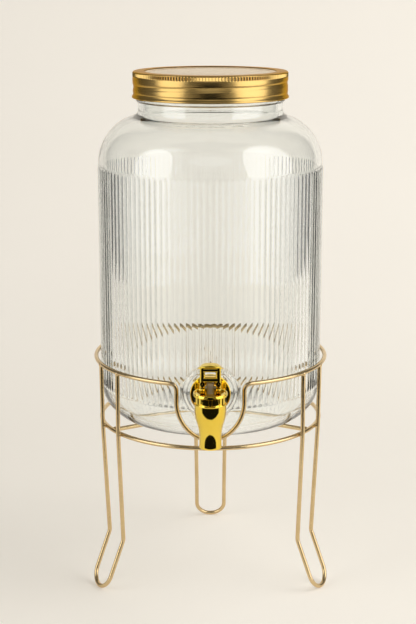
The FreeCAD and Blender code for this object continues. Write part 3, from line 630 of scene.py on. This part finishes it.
def shade_pockets(material):
    """Paint the pockets' shade as a dark ring on the plating, by a mask on Object coordinates: the distance
    from a pocket's middle, folded over the middle plane and seen from the front, within its ring, in front of
    the pin."""
    nodes, links = material.node_tree.nodes, material.node_tree.links
    colour = nodes["Principled BSDF"].inputs["Base Color"]
    place = nodes.new("ShaderNodeTexCoord")
    fold, flat, gap = (nodes.new("ShaderNodeVectorMath") for _ in range(3))
    fold.operation, flat.operation, gap.operation = "ABSOLUTE", "MULTIPLY", "DISTANCE"
    flat.inputs[1].default_value = (1, 0, 1)
    gap.inputs[1].default_value = (ARM_MIDDLE * MM, 0, (PIN_Z + POCKET_HEIGHT) * MM)
    ring, ahead, shade_mask = (nodes.new("ShaderNodeMath") for _ in range(3))
    ring.operation, ahead.operation, shade_mask.operation = "COMPARE", "LESS_THAN", "MULTIPLY"
    ring.inputs[1].default_value = (POCKET + POCKET_PIP) / 2 * MM
    ring.inputs[2].default_value = (POCKET - POCKET_PIP) / 2 * MM
    ahead.inputs[1].default_value = BARREL_Y * MM
    axes = nodes.new("ShaderNodeSeparateXYZ")
    mix = nodes.new("ShaderNodeMix")
    mix.data_type = "RGBA"
    mix.inputs["B"].default_value = POCKET_SHADE
    links.new(place.outputs["Object"], fold.inputs[0])
    links.new(fold.outputs["Vector"], flat.inputs[0])
    links.new(flat.outputs["Vector"], gap.inputs[0])
    links.new(gap.outputs["Value"], ring.inputs[0])
    links.new(place.outputs["Object"], axes.inputs["Vector"])
    links.new(axes.outputs["Y"], ahead.inputs[0])
    links.new(ring.outputs[0], shade_mask.inputs[0])
    links.new(ahead.outputs[0], shade_mask.inputs[1])
    links.new(shade_mask.outputs[0], mix.inputs["Factor"])
    links.new(colour.links[0].from_socket, mix.inputs["A"])
    links.new(mix.outputs["Result"], colour)


lever_gold = plated_gold.copy()
lever_gold.name = "lever_gold"
# The lever's gold gets painted shade, a near-black ring in each of its two pockets.
shade_pockets(lever_gold)
moulding = [arm(-1), arm(1), level_bar(*CROSS_BAR), level_bar(*TOP_BAR), thumb_piece()]
piece("flip_lever", moulding, lever_gold, "lever", ["tap_lever"], sharp=50.0)

# Lid gasket and disc. A flat silicone ring seals the rim of the glass under a loose disc stamped from
# gold-lacquered sheet, with a shallow sunk panel.
DISC, DISC_TOP = 69.2, 482.7
PANEL, PANEL_TOP, PANEL_UNDER = 57.6, 482.1, 481.55
dress("lid_gasket", soft_white)
disc_gold = finish("lid_disc_gold", 25.0, (0.18, 0.28), (0.74, 0.58, 0.36), (0.80, 0.64, 0.42),
                   Metallic=1.0)


def on_jar_axis(profile, columns=192):
    """A (radius, height) profile carried round the jar's axis."""
    s = np.arange(columns) * 2 * np.pi / columns
    profile = np.asarray(profile, float)
    return np.stack([profile[:, :1] * np.sin(s), -profile[:, :1] * np.cos(s),
                     np.repeat(profile[:, 1:], columns, 1)], -1)


disc = [
    [0.0, PANEL_TOP], [PANEL, PANEL_TOP], [PANEL + 1.0, PANEL_TOP + 0.1], [PANEL + 1.6, PANEL_TOP + 0.4],
    [PANEL + 2.4, DISC_TOP - 0.02], [DISC - 0.3, DISC_TOP], [DISC, DISC_TOP - 0.2],
    [DISC - 0.1, DISC_TOP - 0.55], [PANEL + 2.6, DISC_TOP - 0.6], [PANEL + 1.8, DISC_TOP - 0.8],
    [PANEL + 1.0, PANEL_UNDER + 0.1], [PANEL, PANEL_UNDER], [0.0, PANEL_UNDER],
]
piece("lid_plate", [on_jar_axis(disc)], disc_gold, "lid_insert", ["lid_disc"])

# Screw band. Rolled from thin gold-lacquered sheet, with a knurl under its top edge, a bulge, one rolled
# thread groove, a waist and a curled bead; it screws on the neck and holds the disc down by its lip.
BAND_WALL, BAND_INNER, LIP_INNER, LIP_FLAT, LIP_UNDER = 71.4, 70.9, 60.7, 66.0, 482.8
LID_TOP, LID_LOW, TOP_EDGE, WALL_FROM = 483.4, 459.2, 1.5, 70.0
BEAD_CURL = np.array([[0.05, 2.8], [0.3, 2.2], [0.7, 1.7], [1.0, 1.0], [0.9, 0.3], [0.5, 0.05], [-0.1, 0.1]])
KNURL_COUNT, KNURL_DEPTH, KNURL_SINK = 160, 0.42, 0.6
KNURL_LOW, KNURL_TOP, KNURL_FADE = 478.7, 482.3, 0.6
GROOVE_HEIGHT, GROOVE_PITCH, GROOVE_DEPTH, GROOVE_HALF = 471.2, 8.4, 1.0, 1.5
GROOVE_TURN, GROOVE_FADE = 2.7, 0.5
BULGE, BULGE_HEIGHT, BULGE_SPREAD = 0.22, 474.9, 2.6
BULGE_LOW, BULGE_TOP, BULGE_FADES = 472.0, 478.6, (3.0, 1.5)
WAIST, WAIST_HEIGHT, WAIST_HALF = 0.35, 463.2, 1.0
lid_gold = finish("satin_lid", 35.0, (0.25, 0.27), (0.56, 0.37, 0.12), (0.60, 0.40, 0.14), Metallic=1.0,
                  Specular_Tint=(0.75, 0.52, 0.24, 1))


def screw_band(columns=4 * KNURL_COUNT):
    """Radius as a function of turn and height down the wall: the knurl as a cosine of the turn, a bulge as a
    cosine of the height, a groove that climbs one pitch in a turn and a waist, both bell curves across; then
    the curled bead, and the plain inside."""
    outside = np.concatenate([
        [[LIP_INNER, LID_TOP - 0.5], [LIP_INNER - 0.1, LID_TOP - 0.3], [LIP_INNER + 0.1, LID_TOP - 0.05],
         [LIP_INNER + 0.5, LID_TOP], [LIP_FLAT, LID_TOP - 0.1], [BAND_WALL - 2.0, LID_TOP - 0.1]],
        arc((BAND_WALL - TOP_EDGE, LID_TOP - 0.1 - TOP_EDGE), TOP_EDGE, 75, 0, 7),
        levels(BAND_WALL, LID_TOP - 1.8, LID_LOW + 3.4, 56),
    ])
    inside = np.concatenate([
        BEAD_CURL + [BAND_WALL, LID_LOW],
        [[BAND_INNER + 0.1, LID_LOW + 0.6], [BAND_INNER, LID_LOW + 1.3], [BAND_INNER, LIP_UNDER - 0.8],
         [BAND_INNER - 0.7, LIP_UNDER], [LIP_FLAT, LIP_UNDER], [LIP_INNER + 0.2, LIP_UNDER],
         [LIP_INNER, LID_TOP - 0.5]],
    ])
    profile = np.concatenate([outside, inside])
    s = np.arange(columns) * 2 * np.pi / columns
    turn = np.mod(s + np.pi, 2 * np.pi) - np.pi
    z = profile[:, 1:]
    outer = (np.arange(len(profile)) < len(outside))[:, None] * (profile[:, :1] > WALL_FROM)
    knurled = smooth(KNURL_LOW, KNURL_FADE, z) * smooth(-KNURL_TOP, KNURL_FADE, -z)
    knurl = KNURL_DEPTH * (np.cos(KNURL_COUNT * s)[None] - KNURL_SINK) * knurled
    from_groove = z - (GROOVE_HEIGHT + GROOVE_PITCH * turn[None] / (2 * np.pi))
    started = smooth(-GROOVE_TURN, GROOVE_FADE, -np.abs(turn))[None]
    groove = -GROOVE_DEPTH * started * np.exp(-(from_groove / GROOVE_HALF) ** 2)
    bulged = smooth(BULGE_LOW, BULGE_FADES[0], z) * smooth(-BULGE_TOP, BULGE_FADES[1], -z)
    bulge = BULGE * np.cos((z - BULGE_HEIGHT) / BULGE_SPREAD) * bulged
    waist = -WAIST * np.exp(-((z - WAIST_HEIGHT) / WAIST_HALF) ** 2)
    radius = profile[:, :1] + outer * (knurl + groove + bulge + waist)
    return np.stack([radius * np.sin(s), -radius * np.cos(s), np.repeat(z, columns, 1)], -1)


piece("screw_band", [screw_band()], lid_gold, "lid_ring", ["lid_band"], sharp=50.0)

# Studio, no part of the object. A pale paper sweep in a dim room, a tall oval soft box on each side, a weak
# one high in front, and a lamp high on the right that metal and glass don't mirror. A dark cloth lies on the
# paper in front, and a dark wall stands behind the camera.
GLOW_NEAR, GLOW_FAR, GLOW_FLOOR, GLOW_BACK = 0.1, 1.1, 0.28, 0.37
LAMP_WHITE, ROOM_GREY = (0.975, 0.98, 0.985), (0.15, 0.145, 0.135, 1)
paper = finish("paper_sweep", 1.5, (0.85, 0.95), (0.80, 0.755, 0.675), (0.83, 0.785, 0.705),
               Specular_IOR_Level=0.1, Emission_Color=(0.885, 0.828, 0.748, 1))
nodes, links = paper.node_tree.nodes, paper.node_tree.links
ray = nodes.new("ShaderNodeLightPath")
place = nodes.new("ShaderNodeTexCoord")
axes = nodes.new("ShaderNodeSeparateXYZ")
glow = nodes.new("ShaderNodeMapRange")
glow.inputs["From Min"].default_value = GLOW_NEAR
glow.inputs["From Max"].default_value = GLOW_FAR
glow.inputs["To Min"].default_value = GLOW_FLOOR
glow.inputs["To Max"].default_value = GLOW_BACK
links.new(place.outputs["Object"], axes.inputs["Vector"])
links.new(axes.outputs["Y"], glow.inputs["Value"])
seen = ray.outputs["Is Camera Ray"]
for socket, operation in (
    (ray.outputs["Is Transmission Ray"], "MAXIMUM"),
    (ray.outputs["Is Glossy Ray"], "MAXIMUM"),
    (glow.outputs["Result"], "MULTIPLY"),
):
    step = nodes.new("ShaderNodeMath")
    step.operation = operation
    links.new(seen, step.inputs[0])
    links.new(socket, step.inputs[1])
    seen = step.outputs[0]
links.new(seen, nodes["Principled BSDF"].inputs["Emission Strength"])


def sweep(width=2.8, near=-3.0, back=1.6, high=2.6, radius=1.2):
    """Paper: flat floor, a quarter-circle bend and an upright back, carried across the width."""
    s = np.linspace(0, np.pi / 2, 24)
    y = np.concatenate([[near], back - radius + radius * np.sin(s), [back]])
    z = np.concatenate([[0.0], radius - radius * np.cos(s), [high]])
    x = np.array([-width / 2, width / 2])
    return np.stack(np.broadcast_arrays(x[None], y[:, None], z[:, None]), -1)


def sheet(name, grid, material):
    """An open mesh of quads from a grid of points in metres."""
    rows, columns = grid.shape[:2]
    index = np.arange(rows * columns).reshape(rows, columns)
    quads = np.stack([index[:-1, :-1], index[:-1, 1:], index[1:, 1:], index[1:, :-1]], -1).reshape(-1, 4)
    mesh = bpy.data.meshes.new(name)
    mesh.from_pydata(grid.reshape(-1, 3).tolist(), [], quads.tolist())
    mesh.shade_smooth()
    mesh.materials.append(material)
    thing = bpy.data.objects.new(name, mesh)
    bpy.context.scene.collection.objects.link(thing)
    return thing


sheet("paper", sweep(), paper)
dark_cloth = finish("dark_cloth", 30.0, (0.95, 1.0), (0.008, 0.008, 0.008), (0.014, 0.014, 0.014),
                    Specular_IOR_Level=0.0)


def flag(name, centre, across, up):
    """A flat card from its centre and two half sides; the camera doesn't see it."""
    u = np.array([-1.0, 1.0])
    grid = np.array(centre) + u[:, None, None] * np.array(up) + u[None, :, None] * np.array(across)
    sheet(name, grid, dark_cloth).visible_camera = False


flag("dark_floor", (0.03, -1.71, 0.001), across=(0.70, 0.0, 0.0), up=(0.0, 1.29, 0.0))
flag("dark_wall", (0.0, -2.4, 0.32), across=(0.65, 0.0, 0.0), up=(0.0, 0.0, 0.32))


def soft_box(name, place, aim, size, watts):
    """An oval lamp at a place, turned towards an aim: its pose is its right, up, back and place."""
    lamp = bpy.data.lights.new(name, "AREA")
    lamp.shape = "ELLIPSE"
    lamp.size, lamp.size_y = size
    lamp.energy = watts
    lamp.color = LAMP_WHITE
    thing = bpy.data.objects.new(name, lamp)
    forward = np.array(aim, float) - np.array(place, float)
    forward /= np.linalg.norm(forward)
    right = np.cross(forward, UPRIGHT)
    right /= np.linalg.norm(right)
    pose = np.eye(4)
    pose[:3] = np.stack([right, np.cross(right, forward), -forward, place], -1)
    thing.matrix_world = pose.T.tolist()
    bpy.context.scene.collection.objects.link(thing)
    return thing


soft_box("box_left", (-1.22, -0.70, 0.66), aim=(0, 0, 0.60), size=(1.1, 2.1), watts=11.5)
soft_box("box_right", (1.22, -0.64, 0.80), aim=(0, 0, 0.72), size=(1.45, 2.6), watts=20)
soft_box("box_front", (0.0, -2.3, 1.6), aim=(0, 0, 0.3), size=(2.0, 1.0), watts=3)
overhead = soft_box("overhead", (1.3, 0.1, 2.0), aim=(-0.1, 0.3, 0.1), size=(1.6, 1.6), watts=15)
overhead.visible_glossy = False
overhead.visible_transmission = False

world = bpy.data.worlds.new("room")
world.use_nodes = True
world.node_tree.nodes["Background"].inputs["Color"].default_value = ROOM_GREY
bpy.context.scene.world = world

# Camera. An 81 mm lens 1.3 m in front of the jar's axis, a little higher than the lid and tipped down. The
# shift puts the axis where the photograph has it.
CAMERA_PLACE = (0.0, -1.3017, 0.5725)
CAMERA_TIP = np.radians(13.691)
LENS, SENSOR = 80.87, 36.0
PHOTO_HEIGHT, SHIFT_PIXELS = 624, 2.39
camera = bpy.data.cameras.new("camera")
camera.sensor_fit = "VERTICAL"
camera.sensor_height = SENSOR
camera.lens = LENS
camera.shift_x = -SHIFT_PIXELS / PHOTO_HEIGHT
view = bpy.data.objects.new("camera", camera)
view.location = CAMERA_PLACE
view.rotation_euler = (np.pi / 2 - CAMERA_TIP, 0, 0)
bpy.context.scene.collection.objects.link(view)
bpy.context.scene.camera = view
bpy.context.scene.view_settings.view_transform = "Standard"
